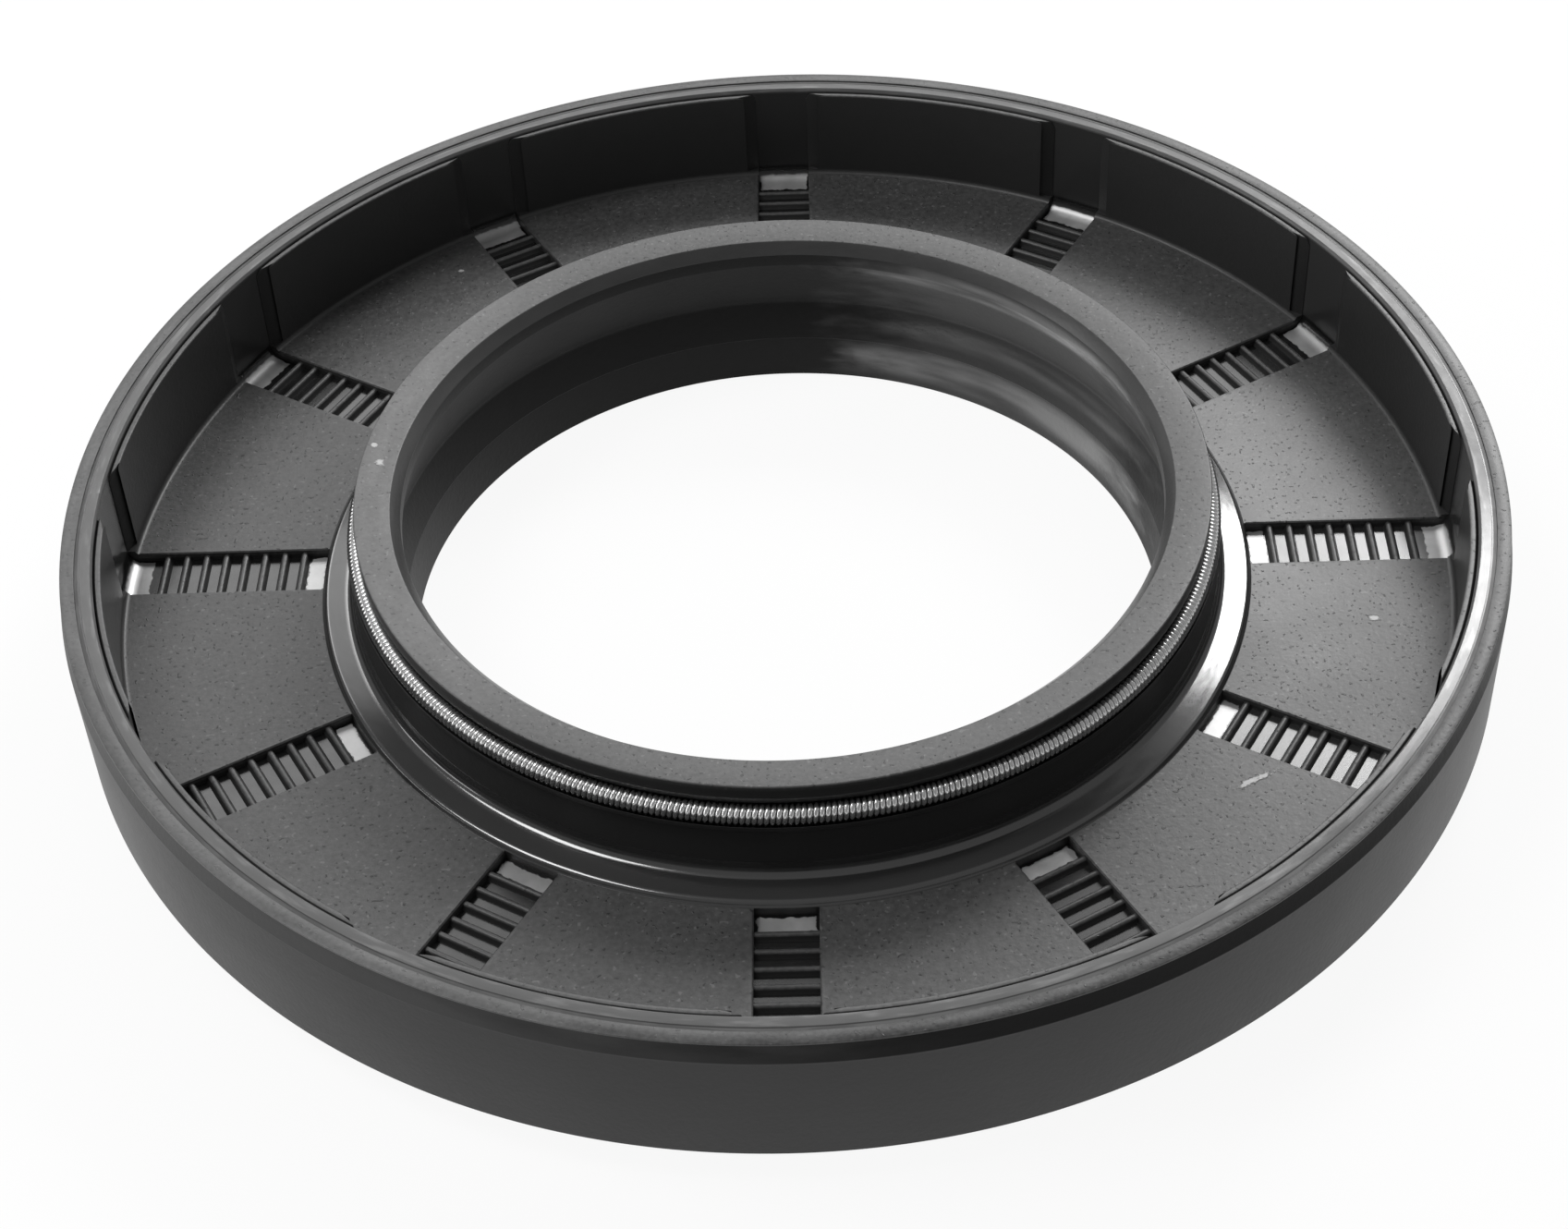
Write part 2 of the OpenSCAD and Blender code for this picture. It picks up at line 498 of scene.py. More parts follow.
@dataclass
class Sizes:
    """The seal's sizes in millimetres: those that drive the shape, then those that follow.

    Attributes:
        outside_r: Outside radius.
        width: Overall width.
        shaft_r: Radius of the shaft.
        case_t: Thickness of the steel sheet.
        cover_t: Thickness of the rubber outside the case.
        lining_t: Thickness of the lining.
        lining_drop: Depth of the lining's top below the rim.
        back_t: Thickness of the rubber under the flange.
        floor_t: Thickness of the rubber over the flange.
        bend_r: Inside radius of the case's bend.
        flange_hole_gap: Distance from the shaft to the flange's hole.
        lip_squeeze: How far the shaft pushes the sealing lip outwards.
        lip_drop: Depth of the sealing land's top below the rim.
        lip_chamfer_w: Width of the chamfer from the sealing land up to the head.
        head_w: Width of the head, from the sealing land outwards.
        neck_gap: Distance from the shaft to the foot of the neck.
        pockets: Number of pockets around the floor.
        pocket_w: Width of a pocket.
        pocket_r: Radius of a pocket's inner end.
        spring_r: Radius of the garter spring at the middle of its coil.
        spring_drop: Depth of the coil's middle below the rim.
        around: Number of pieces around the axis in each turned mesh.
        case_outer_r: Outside radius of the case.
        case_inner_r: Inside radius of the case.
        lining_r: Inside radius of the lining.
        flange_hole_r: Radius of the flange's hole.
        lip_r: Radius of the sealing land.
        head_inner_r: Radius of the head's top at its inner edge.
        head_r: Outside radius of the head.
        neck_r: Radius of the neck's foot.
        flange_top: Level of the flange's upper face.
        floor_z: Level of the floor.
        lining_top: Level of the lining's top.
        land_top: Level of the sealing land's top.
        bend_z: Level of the middle of the bend.
    """

    outside_r: float
    width: float
    shaft_r: float = 27.5
    case_t: float = 1.2
    cover_t: float = 1.2
    lining_t: float = 0.55
    lining_drop: float = 0.28
    back_t: float = 3.3
    floor_t: float = 0.7
    bend_r: float = 1.2
    flange_hole_gap: float = 3.5
    lip_squeeze: float = 0.9
    lip_drop: float = 1.0
    lip_chamfer_w: float = 0.67
    head_w: float = 3.17
    neck_gap: float = 3.15
    pockets: int = 12
    pocket_w: float = 4.15
    pocket_r: float = 32.95
    spring_r: float = 29.74
    spring_drop: float = 2.5
    around: int = 360
    case_outer_r: float = field(init=False)
    case_inner_r: float = field(init=False)
    lining_r: float = field(init=False)
    flange_hole_r: float = field(init=False)
    lip_r: float = field(init=False)
    head_inner_r: float = field(init=False)
    head_r: float = field(init=False)
    neck_r: float = field(init=False)
    flange_top: float = field(init=False)
    floor_z: float = field(init=False)
    lining_top: float = field(init=False)
    land_top: float = field(init=False)
    bend_z: float = field(init=False)

    def __post_init__(self) -> None:
        """Works out the radii and levels."""
        self.case_outer_r = self.outside_r - self.cover_t
        self.case_inner_r = self.case_outer_r - self.case_t
        self.lining_r = self.case_inner_r - self.lining_t
        self.flange_hole_r = self.shaft_r + self.flange_hole_gap
        self.lip_r = self.shaft_r - self.lip_squeeze
        self.head_inner_r = self.lip_r + self.lip_chamfer_w
        self.head_r = self.lip_r + self.head_w
        self.neck_r = self.shaft_r + self.neck_gap
        self.flange_top = self.back_t + self.case_t
        self.floor_z = self.flange_top + self.floor_t
        self.lining_top = self.width - self.lining_drop
        self.land_top = self.width - self.lip_drop
        self.bend_z = self.flange_top + self.bend_r

    @classmethod
    def from_frame(cls) -> "Sizes":
        """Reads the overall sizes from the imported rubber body.

        Returns:
            The sizes.
        """
        _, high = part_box("rubber_body")
        return cls(outside_r=round(high.x / MM, 3), width=round(high.z / MM, 3))

    def inner_bend(self) -> list[Corner]:
        """Gives the bend's inside, from the case's wall down to its flange."""
        return arc(self.case_inner_r - self.bend_r, self.bend_z, self.bend_r, 0, -90, 8)

    def outer_bend(self) -> list[Corner]:
        """Gives the bend's outside, from the flange up to the wall."""
        outside = self.bend_r + self.case_t
        return arc(self.case_inner_r - self.bend_r, self.bend_z, outside, -90, 0, 12)


@dataclass(frozen=True)
class Mark:
    """A pale mark on the rubber's upper faces.

    Attributes:
        x: Place of its middle, in millimetres.
        y: The same, towards the back.
        length: Half its length, in millimetres.
        width: Half its width, in millimetres.
        turn: Direction of its length, in degrees from the x axis.
    """

    x: float
    y: float
    length: float
    width: float
    turn: float = 0.0


@dataclass(frozen=True)
class MouldedRubber:
    """Black moulded rubber: dull grey on its upper faces, glossy on the ledge and deep black on the walls.

    Pairs of directions are in degrees around the axis, counted from the right towards the back.

    Attributes:
        sizes: The seal's sizes.
        dark: Brightness of the walls.
        bore: Brightness of the bore, darker than the walls as painted shade.
        dull: Brightness of the upper faces, lighter than the walls.
        pale: Brightness that a pale mark adds.
        satin: Roughness of the moulded faces.
        gloss: Roughness of the ledge.
        painted_shade: Directions between which shade is painted on the rim's top and in the recess under it.
        lit: Directions between which the bore has glossy wavy bands that are also painted lighter as a
            painted highlight.
        shiny: Directions between which the whole ledge shines.
        marks: The pale marks on the floor and on the head.
    """

    sizes: Sizes
    dark: float = 0.026
    bore: float = 0.014
    dull: float = 0.054
    pale: float = 0.35
    satin: float = 0.42
    gloss: float = 0.16
    painted_shade: tuple[float, float] = (-100.0, -20.0)
    lit: tuple[float, float] = (22.0, 74.0)
    shiny: tuple[float, float] = (-45.0, 12.0)
    marks: tuple[Mark, ...] = (
        Mark(40.7, -8.0, 0.4, 0.3),
        Mark(-25.9, 34.9, 0.3, 0.25),
        Mark(-28.9, 4.3, 0.3, 0.25),
        Mark(-28.3, 2.5, 0.4, 0.3, 90),
        Mark(30.6, -23.0, 1.7, 0.28, 28),
    )

    def marked(self, g: Graph) -> Value:
        """Gives the pale marks, with ragged edges.

        Args:
            g: The material's graph.

        Returns:
            The mask.
        """
        wobble = (g.noise(2.2, 3.0) - 0.5) * 2.2
        spots = []
        for mark in self.marks:
            cos, sin = math.cos(math.radians(mark.turn)), math.sin(math.radians(mark.turn))
            along = ((g.x - mark.x) * cos + (g.y - mark.y) * sin) * (1 / mark.length)
            across = ((g.y - mark.y) * cos - (g.x - mark.x) * sin) * (1 / mark.width)
            spots.append(1 - g.ramp((along * along + across * across) ** 0.5 + wobble, 0.5, 1.1))
        floor_z = self.sizes.floor_z
        return either(*spots) * g.ramp(g.z, floor_z - 0.2, floor_z - 0.05)

    def faces(self, g: Graph) -> tuple[Value, ...]:
        """Finds the faces that have a finish of their own, by their radius and height.

        Args:
            g: The material's graph.

        Returns:
            Masks of the rim's top, the lining's top, the head's top, the chamfer inside it, the
            floor, the ribs, the ledge, the bore, the recess under the rim and the wall below it.
        """
        s = self.sizes
        r, z, top = g.radius, g.z, s.width
        in_strip = g.band(r, s.lining_r - 0.15, s.lining_r + 0.38, 0.03)
        in_floor = g.band(r, s.pocket_r + 0.05, s.lining_r - 0.3, 0.05)
        in_pockets = g.band(r, s.pocket_r + 0.05, s.lining_r - 0.15, 0.05)
        in_recess = g.ramp(r, s.outside_r - 0.7, s.outside_r - 0.55)
        return (
            g.band(r, s.case_outer_r + 0.02, s.outside_r - 0.1, 0.03) * g.ramp(z, top - 0.3, top - 0.1),
            in_strip * g.ramp(z, s.lining_top - 0.17, s.lining_top - 0.07),
            g.band(r, s.head_inner_r - 0.02, s.head_r - 0.01, 0.05) * g.ramp(z, top - 0.4, top - 0.22),
            g.band(r, s.lip_r, s.head_inner_r - 0.02, 0.05) * g.ramp(z, s.land_top - 0.05, s.land_top + 0.05),
            in_floor * g.band(z, s.floor_z - 0.15, s.floor_z + 0.4, 0.03),
            in_pockets * g.band(z, s.flange_top + 0.32, s.flange_top + 0.53, 0.03),
            g.band(r, s.neck_r - 0.2, s.pocket_r - 0.02, 0.04) * g.band(z, s.floor_z, s.floor_z + 1.7, 0.05),
            (1 - g.ramp(r, s.shaft_r + 0.8, s.shaft_r + 0.9)) * (1 - g.ramp(z, s.land_top - 0.1, s.land_top)),
            in_recess * g.band(z, top - 1.56, top - 0.16, 0.04),
            g.ramp(r, s.outside_r - 1, s.outside_r - 0.1) * (1 - g.ramp(z, top - 1.7, top - 1.5)),
        )

    def material(self) -> bpy.types.Material:
        """Builds the material."""
        g = Graph("moulded_rubber")
        rim, strip, head, chamfer, floor, ribs, ledge, bore, recess, wall = self.faces(g)
        upper = either(head, floor, rim, strip, ribs)
        grain = g.noise(3.0, 4.0)
        cloud = g.noise(0.16, 4.0)
        streaks = g.noise(0.9, 4.0, g.rolled(5.0))
        scuff = g.ramp(g.noise(1.0, 5.0, g.rolled(5.0)), 0.4, 0.66)
        pale_specks, dark_specks = (g.ramp(g.noise(scale, 0.0), 0.72, 0.8) for scale in (3.4, 3.8))
        marked = self.marked(g)
        direction = g.angle * math.degrees(1) + 30 * (streaks - 0.5)
        # An arc of painted shade: within it the rim's top and the recess under it are painted darker.
        painted_shade = g.band(direction, *self.painted_shade, 25.0)
        lit = g.band(direction, *self.lit, 12.0) * bore
        bands = g.band(g.z, 1.0, 3.0, 0.6) + 0.5 * g.band(g.z, 4.4, 5.6, 0.4) + g.band(g.z, 10.2, 11.6, 0.4)
        # Wavy bands on the bore in the lit arc: a glossy coat there, plus a painted highlight in the base
        # colour.
        gloss_and_painted_highlight = lit * bands * g.ramp(g.noise(0.6, 2.0, g.rolled(12.0)), 0.3, 0.6)
        # The lining's top is painted lighter towards the front: painted light.
        front = 1 - g.ramp(g.y, -12.0, 8.0)
        # The head is a little lighter all round, its own tone, and lighter in streaks on its left side, which
        # is painted light from the left.
        head_tone_and_left_light = 0.012 + 0.09 * streaks * (1 - g.ramp(g.x, -26.0, -14.0))
        brightness = (
            self.dark
            # The bore is painted darker than the walls: painted shade.
            + bore * (self.bore - self.dark)
            + upper * (self.dull - self.dark)
            + upper * ((cloud - 0.5) * 0.02 + (grain - 0.5) * 0.08)
            + head * head_tone_and_left_light
            # Head tone, with painted light on its left side.
            + chamfer * 0.03 * streaks
            + (floor + head) * (0.05 * pale_specks - 0.03 * dark_specks)
            # Scuffs and a lighter tone on the rim's top, less the painted shade within the arc.
            + rim * ((scuff - 0.4) * 0.03 + 0.026 - 0.054 * painted_shade)
            # Painted light on the lining's top towards the front.
            + strip * front * 0.02
            + marked * self.pale
            # Painted highlight on the bore's wavy bands.
            + gloss_and_painted_highlight * 0.05
            # Painted shade in the recess under the rim, within the arc.
            - recess * painted_shade * 0.02
        )
        rough = (
            self.satin
            + 0.1 * (cloud - 0.5)
            + 0.06 * (grain - 0.5)
            + ledge * (self.gloss - self.satin)
            - chamfer * 0.08
        )
        normal = g.bump(grain * (1 - ledge), depth=0.015)
        normal = g.bump(g.noise(0.7, 2.0, g.rolled(3.0)), depth=0.012, below=normal)
        normal = g.bump(dark_specks * upper, depth=0.02, below=normal)
        normal = g.bump(marked, depth=0.05, below=normal)
        foot = 1 - g.ramp(g.radius, self.sizes.neck_r + 0.45, self.sizes.neck_r + 0.75)
        bead = g.ramp(g.radius, self.sizes.pocket_r - 0.5, self.sizes.pocket_r - 0.35)
        shiny = ledge * either(g.band(direction, *self.shiny, 12.0), foot, bead)
        sockets = {
            "Base Color": g.grey(brightness),
            "Roughness": rough,
            "Coat Weight": either(shiny, gloss_and_painted_highlight),
            "Coat IOR": 1.8,
            "Coat Roughness": 0.13,
            "Normal": normal,
            "Coat Normal": normal,
        }
        plain = g.shader(sockets)
        # The low-specular copy takes the sheen off the bore outside its lit arc, off the wall, and off the
        # recess within the arc of painted shade; in the bore and the recess this stands in for shade.
        shaded = g.shader({**sockets, "Specular IOR Level": 0.12})
        return g.finish(plain, shaded, either(bore * (1 - lit), wall * 0.55, recess * painted_shade))


@dataclass(frozen=True)
class PressedSteel:
    """Pressed steel sheet: scuffed bare at both ends of each pocket, and dark and smooth elsewhere.

    Directions are given as in MouldedRubber.

    Attributes:
        sizes: The seal's sizes.
        dark: Brightness of the smooth metal.
        bare: Brightness of the scuffed metal.
        wall: Brightness of the wall in the channels.
        edge: Brightness that the cut edge adds to the wall's.
        gloss: Roughness of the smooth metal.
        rough: Roughness of the scuffed metal.
        metal: How metallic the smooth metal is.
        lit: Directions between which the smooth metal is painted lighter as painted light; outside them it is
            painted darker as painted shade.
        polished: Directions between which the cut edge is polished.
    """

    sizes: Sizes
    dark: float = 0.13
    bare: float = 0.5
    wall: float = 0.035
    edge: float = 0.04
    gloss: float = 0.2
    rough: float = 0.38
    metal: float = 0.85
    lit: tuple[float, float] = (-48.0, 14.0)
    polished: tuple[float, float] = (-52.0, -8.0)

    def scuffed(self, g: Graph) -> Value:
        """Finds the bare patches at both ends of each pocket.

        Args:
            g: The material's graph.

        Returns:
            The mask; on the outer patches it is weaker towards the front, as painted shade.
        """
        s = self.sizes
        sector = math.tau / s.pockets
        ragged = 0.5 * (g.noise(1.6, 3.0) - 0.5)
        turn = ((g.angle * (1 / sector) + 0.5).math("FRACT") - 0.5) * sector
        aside = (g.radius * turn.math("SINE")).math("ABSOLUTE") + ragged
        reach = g.radius + ragged
        half = s.pocket_w / 2
        flange = (1 - g.ramp(g.z, s.flange_top + 0.8, s.flange_top + 1.2)) * (
            1 - g.ramp(aside, half - 0.225, half - 0.125)
        )
        inner = g.band(reach, s.pocket_r + 0.2, s.pocket_r + 1.35, 0.05)
        outer = g.ramp(reach, s.lining_r - 1.45, s.lining_r - 1.35) * (
            1 - g.ramp(g.z + 0.5 * ragged, s.flange_top + 0.25, s.flange_top + 0.45)
        )
        # The outer patches fade towards the front: painted shade.
        return flange * either(inner, outer * (0.4 + 0.6 * g.ramp(g.y, -15.0, 5.0)))

    def material(self) -> bpy.types.Material:
        """Builds the material."""
        g = Graph("pressed_steel")
        s = self.sizes
        cloud = g.noise(0.8, 4.0)
        scores = g.noise(2.0, 4.0, g.rolled(5.0))
        scuffed = self.scuffed(g)
        direction = g.angle * math.degrees(1)
        lit = g.band(direction, *self.lit, 4.0)
        polished = g.band(direction, *self.polished, 8.0)
        wall = g.ramp(g.z, s.flange_top + 0.9, s.flange_top + 1.3)
        top = g.ramp(g.z, s.width - 0.4, s.width - 0.25)
        edge = top * (1 - g.ramp(g.radius, s.case_outer_r - 0.38, s.case_outer_r - 0.3))
        gap = top * g.ramp(g.radius, s.case_outer_r - 0.3, s.case_outer_r - 0.2)
        worn = edge * g.ramp(scores, 0.5, 0.7)
        dashes = gap * g.ramp(scores, 0.42, 0.56)
        brightness = (
            # Painted light and shade: the smooth metal is lighter within the lit arc and darker outside it.
            self.dark * (0.4 + 0.6 * lit) * (1 - wall)
            + scuffed * (self.bare - self.dark) * (0.6 + 0.8 * cloud)
            + wall * self.wall
            + either(edge, gap) * self.edge
            + edge * 0.03 * scores
            + worn * 0.06
            - dashes * 0.03
        )
        rough = (
            self.gloss
            + scuffed * (self.rough - self.gloss)
            + 0.14 * (cloud - 0.5)
            + gap * 0.3
            + edge * (1 - polished) * 0.2
        )
        sockets = {
            "Base Color": g.grey(brightness),
            "Metallic": self.metal - wall * self.metal + worn * 0.24 - scuffed * 0.4,
            "Roughness": rough,
            "Normal": g.bump(scores * edge, depth=0.01),
        }
        return g.finish(g.shader(sockets))


@dataclass(frozen=True)
class DrawnWire:
    """Bright drawn spring wire.

    Attributes:
        bright: Brightness of the wire.
        rough: Roughness of the wire.
    """

    bright: float = 0.72
    rough: float = 0.24

    def material(self) -> bpy.types.Material:
        """Builds the material."""
        g = Graph("drawn_wire")
        cloud = g.noise(1.2, 3.0)
        sockets = {
            "Base Color": g.grey(self.bright + 0.16 * (cloud - 0.5)),
            "Metallic": 1.0,
            "Roughness": self.rough + 0.14 * (cloud - 0.5),
        }
        return g.finish(g.shader(sockets))


@dataclass
class SteelCase:
    """The case: one pressed sheet with a wall, a bend and a flange.

    Attributes:
        sizes: The seal's sizes.
        bevel_w: Width of the bevel on the cut edge's inner corner.
        bevel_h: Height of that bevel.
        gap_w: Width of the gap that the outer corner leaves open beside the rubber.
        gap_h: Depth of that gap.
    """

    sizes: Sizes
    bevel_w: float = 0.15
    bevel_h: float = 0.2
    gap_w: float = 0.35
    gap_h: float = 0.1

    def outline(self) -> list[Corner]:
        """Gives the section, from the cut edge inwards and down.

        Returns:
            The corners of the closed outline.
        """
        s = self.sizes
        lean, soft = 0.06, 0.06
        return [
            Corner(s.case_outer_r, s.width - self.gap_h),
            Corner(s.case_outer_r - self.gap_w, s.width - lean, 2 * soft, 3),
            Corner(s.case_inner_r + self.bevel_w, s.width, soft, 3),
            Corner(s.case_inner_r, s.width - self.bevel_h, soft, 3),
            *s.inner_bend(),
            Corner(s.flange_hole_r, s.flange_top),
            Corner(s.flange_hole_r, s.back_t),
            *s.outer_bend(),
        ]

    def build(self) -> bpy.types.Object:
        """Turns the case and dresses it.

        Returns:
            The case.
        """
        case = new_object("pressed_case", turned(rounded(self.outline()), self.sizes.around))
        smooth(case, 40)
        case.data.materials.append(PressedSteel(self.sizes).material())
        return case


@dataclass
class RubberBody:
    """The rubber moulding: cover, lining, floor with pockets, ledge, neck, head and both lips.

    Attributes:
        sizes: The seal's sizes.
        rib_pitch: Distance between cross ribs.
        rib_t: Thickness of a cross rib under its round top.
        rib_foot: Thickness of a cross rib at the flange.
        rib_h: Height of a cross rib.
        ribs: Number of cross ribs in a pocket.
        edge: Width of the small bevel along the pockets' edges.
        channel_edge: Length over which the lining thins out beside a channel.
        flare_w: How much wider a channel is at each side at its top.
        flare_h: Depth of that flare below the lining's top.
        flare_past: How far the flare's sides go on past the lining's top.
    """

    sizes: Sizes
    rib_pitch: float = 1.42
    rib_t: float = 0.48
    rib_foot: float = 0.72
    rib_h: float = 0.45
    ribs: int = 8
    edge: float = 0.09
    channel_edge: float = 1.5
    flare_w: float = 0.5
    flare_h: float = 0.65
    flare_past: float = 0.35

    def rim(self) -> list[Corner]:
        """Gives the cover, from the case's cut edge out and down to the back face.

        Returns:
            The corners in order.
        """
        s = self.sizes
        setback, edge_h = 0.23, 0.15
        recess_d, recess_h = 0.55, 1.58
        chamfer_w, chamfer_h = 2.1, 2.8
        edge_r = s.outside_r - setback
        recess_top = s.width - edge_h - (recess_d - setback)
        return [
            *s.outer_bend(),
            Corner(s.case_outer_r, s.width, 0.05, 2),
            Corner(edge_r, s.width, 0.05, 2),
            Corner(edge_r, s.width - edge_h, 0.04, 2),
            Corner(s.outside_r - recess_d, recess_top, 0.08, 3),
            Corner(s.outside_r, s.width - recess_h, 0.06, 3),
            Corner(s.outside_r, chamfer_h, 0.15, 3),
            Corner(s.outside_r - chamfer_w, 0, 0.25, 4),
        ]

    def lips(self) -> list[Corner]:
        """Gives the back, the dust lip, the bore, the head and the neck, up to the ledge.

        Returns:
            The corners in order.
        """
        s = self.sizes
        tip_r, tip_t, tip_z = s.shaft_r - 0.7, 0.5, 0.15
        relief_z, dust_z, waist_z = 1.9, 3.3, 6.3
        land_h, head_rise, head_t = 1.0, 0.2, 1.03
        groove_r, groove_z, hollow_r = s.spring_r + 0.05, s.width - s.spring_drop, 0.83
        keeper_r, keeper_z, keeper_t = groove_r + 0.74, groove_z - hollow_r / 2, 0.35
        neck_top_r, foot_z = s.neck_r - 0.45, s.floor_z + 0.72
        return [
            Corner(tip_r + 3.9, 0, 0.2, 3),
            Corner(tip_r + 2.95, relief_z, 0.3, 4),
            Corner(tip_r + 1.45, relief_z, 0.3, 4),
            Corner(tip_r + tip_t, tip_z, 0.12, 3),
            Corner(tip_r, tip_z, 0.05, 2),
            Corner(s.shaft_r - 0.15, dust_z, 0.05, 2),
            Corner(s.shaft_r - 0.3, dust_z + 0.15, 0.08, 3),
            Corner(s.shaft_r + 0.7, waist_z, 0.5, 5),
            Corner(s.lip_r, s.land_top - land_h, 0.06, 2),
            Corner(s.lip_r, s.land_top, 0.06, 2),
            Corner(s.head_inner_r, s.width - head_rise, 0.1, 3),
            Corner(s.head_r, s.width, 0.12, 5),
            Corner(s.head_r, s.width - head_t, 0.06, 3),
            *arc(groove_r, groove_z, hollow_r, 113, 330, 20),
            Corner(keeper_r, keeper_z, 0.01, 1),
            Corner(keeper_r, keeper_z - keeper_t, 0.08, 3),
            Corner(neck_top_r, keeper_z - keeper_t - 0.33, 0.3, 4),
            Corner(s.neck_r, foot_z, 0.7, 9),
        ]

    def floor(self) -> list[Corner]:
        """Gives the ledge, the floor and the lining, up to the lining's top and the case.

        Returns:
            The corners in order.
        """
        s = self.sizes
        slope_w, slope_h = 0.23, 0.32
        groove_w, groove_h = 0.36, 0.35
        return [
            Corner(s.pocket_r - slope_w, s.floor_z + slope_h, 0.4, 6),
            Corner(s.pocket_r, s.floor_z, 0.05, 2),
            Corner(s.lining_r, s.floor_z, 0.4, 5),
            Corner(s.lining_r, s.lining_top, 0.12, 4),
            Corner(s.lining_r + groove_w, s.lining_top, 0.05, 2),
            Corner(s.case_inner_r, s.lining_top - groove_h),
            *s.inner_bend(),
            Corner(s.flange_hole_r, s.flange_top),
            Corner(s.flange_hole_r, s.back_t),
        ]

    def pocket_cutter(self) -> bpy.types.Object:
        """Makes the tool for all pockets: its inner end follows the ledge, its sides are parallel.

        Returns:
            The tool.
        """
        s = self.sizes
        half = math.asin(s.pocket_w / 2 / s.pocket_r)
        start = Vector((s.pocket_r * math.cos(half), -s.pocket_w / 2, 0))
        bm = bmesh.new()
        verts = [bm.verts.new((start + Vector((0, 0, z))) * MM) for z in (s.flange_top, s.width + CLEAR)]
        edge = bm.edges.new(verts)
        bmesh.ops.spin(bm, geom=[*verts, edge], cent=(0, 0, 0), axis=(0, 0, 1), angle=2 * half, steps=8)
        grown = bmesh.ops.extrude_face_region(bm, geom=list(bm.faces), use_keep_orig=True)
        for vert in (v for v in grown["geom"] if isinstance(v, bmesh.types.BMVert)):
            vert.co.x = (s.case_inner_r + s.case_t / 2) * MM
        bmesh.ops.recalc_face_normals(bm, faces=bm.faces)
        return new_object("pocket_tool", repeated_around(bm, s.pockets))

    def wedges(
        self, name: str, reach: tuple[float, float], levels: tuple[float, float], spread: float
    ) -> bpy.types.Object:
        """Makes a tool that is as wide as a pocket at its bottom and wider at its top.

        Args:
            name: The tool's name.
            reach: Radii at which the tool starts and ends.
            levels: Levels of its bottom and top.
            spread: How much wider it is at each side at its top.

        Returns:
            The tool, once for every pocket.
        """
        near, far = reach
        low, high = levels
        half = self.sizes.pocket_w / 2
        corners = ((-half, low), (half, low), (half + spread, high), (-half - spread, high))
        outline = [Vector((near, y, z)) * MM for y, z in corners]
        along = Vector((far - near, 0, 0)) * MM
        return new_object(name, repeated_around(prism(outline, along), self.sizes.pockets))

    def lining_edge_cutter(self) -> bpy.types.Object:
        """Makes the tool that takes the sharp edges off the lining beside each channel.

        Returns:
            The tool.
        """
        s = self.sizes
        narrow, wide = s.pocket_w / 2, s.pocket_w / 2 + self.channel_edge + SLIVER
        wall = math.sqrt(s.lining_r**2 - narrow**2)
        near, far = wall - PAST, wall + s.lining_t - PAST
        bottom = s.floor_z + 0.3
        bend = (wall + 0.3 * s.lining_t, narrow + 0.5 * self.channel_edge)
        corners = ((near, -wide), (near, wide), bend, (far, narrow), (far, -narrow), (bend[0], -bend[1]))
        outline = [Vector((x, y, bottom)) * MM for x, y in corners]
        along = Vector((0, 0, s.width - bottom)) * MM
        return new_object("lining_edge_tool", repeated_around(prism(outline, along), s.pockets))

    def rib_set(self) -> bpy.types.Object:
        """Makes the cross ribs of every pocket, with round tops.

        Returns:
            The ribs.
        """
        s = self.sizes
        tip = self.rib_t / 2
        first = s.pocket_r + 1.25 * self.rib_pitch
        length = s.pocket_w + 2 * PAST
        ribs = bmesh.new()
        for i in range(self.ribs):
            r = first + i * self.rib_pitch
            top = arc(r, s.flange_top + self.rib_h - tip, tip, 0, 180, 8)
            foot = self.rib_foot / 2
            corners = [*top, Corner(r - foot, s.flange_top), Corner(r + foot, s.flange_top)]
            outline = [Vector((c.r, -length / 2, c.z)) * MM for c in corners]
            one = prism(outline, Vector((0, length * MM, 0)))
            mesh = bpy.data.meshes.new("rib")
            one.to_mesh(mesh)
            one.free()
            ribs.from_mesh(mesh)
            bpy.data.meshes.remove(mesh)
        return new_object("rib_set", repeated_around(ribs, s.pockets))

    def build(self) -> bpy.types.Object:
        """Turns the moulding, cuts its pockets, adds the ribs and dresses it.

        Returns:
            The rubber body.
        """
        s = self.sizes
        outline = rounded([*self.rim(), *self.lips(), *self.floor()])
        body = new_object("rubber_moulding", turned(outline, s.around))
        channel = (s.lining_r - CLEAR, s.case_inner_r + s.case_t / 2)
        flare = (s.lining_top - self.flare_h, s.lining_top + self.flare_past)
        beside, bevel = (s.pocket_r + PAST, s.lining_r), (s.floor_z - self.edge, s.floor_z + SLIVER)
        combine(body, self.pocket_cutter(), Join.CUT)
        combine(body, self.wedges("flare_tool", channel, flare, self.flare_w), Join.CUT)
        combine(body, self.wedges("floor_edge_tool", beside, bevel, self.edge + SLIVER), Join.CUT)
        combine(body, self.lining_edge_cutter(), Join.CUT)
        combine(body, self.rib_set(), Join.ADD)
        smooth(body, 30)
        body.data.materials.append(MouldedRubber(self.sizes).material())
        return body


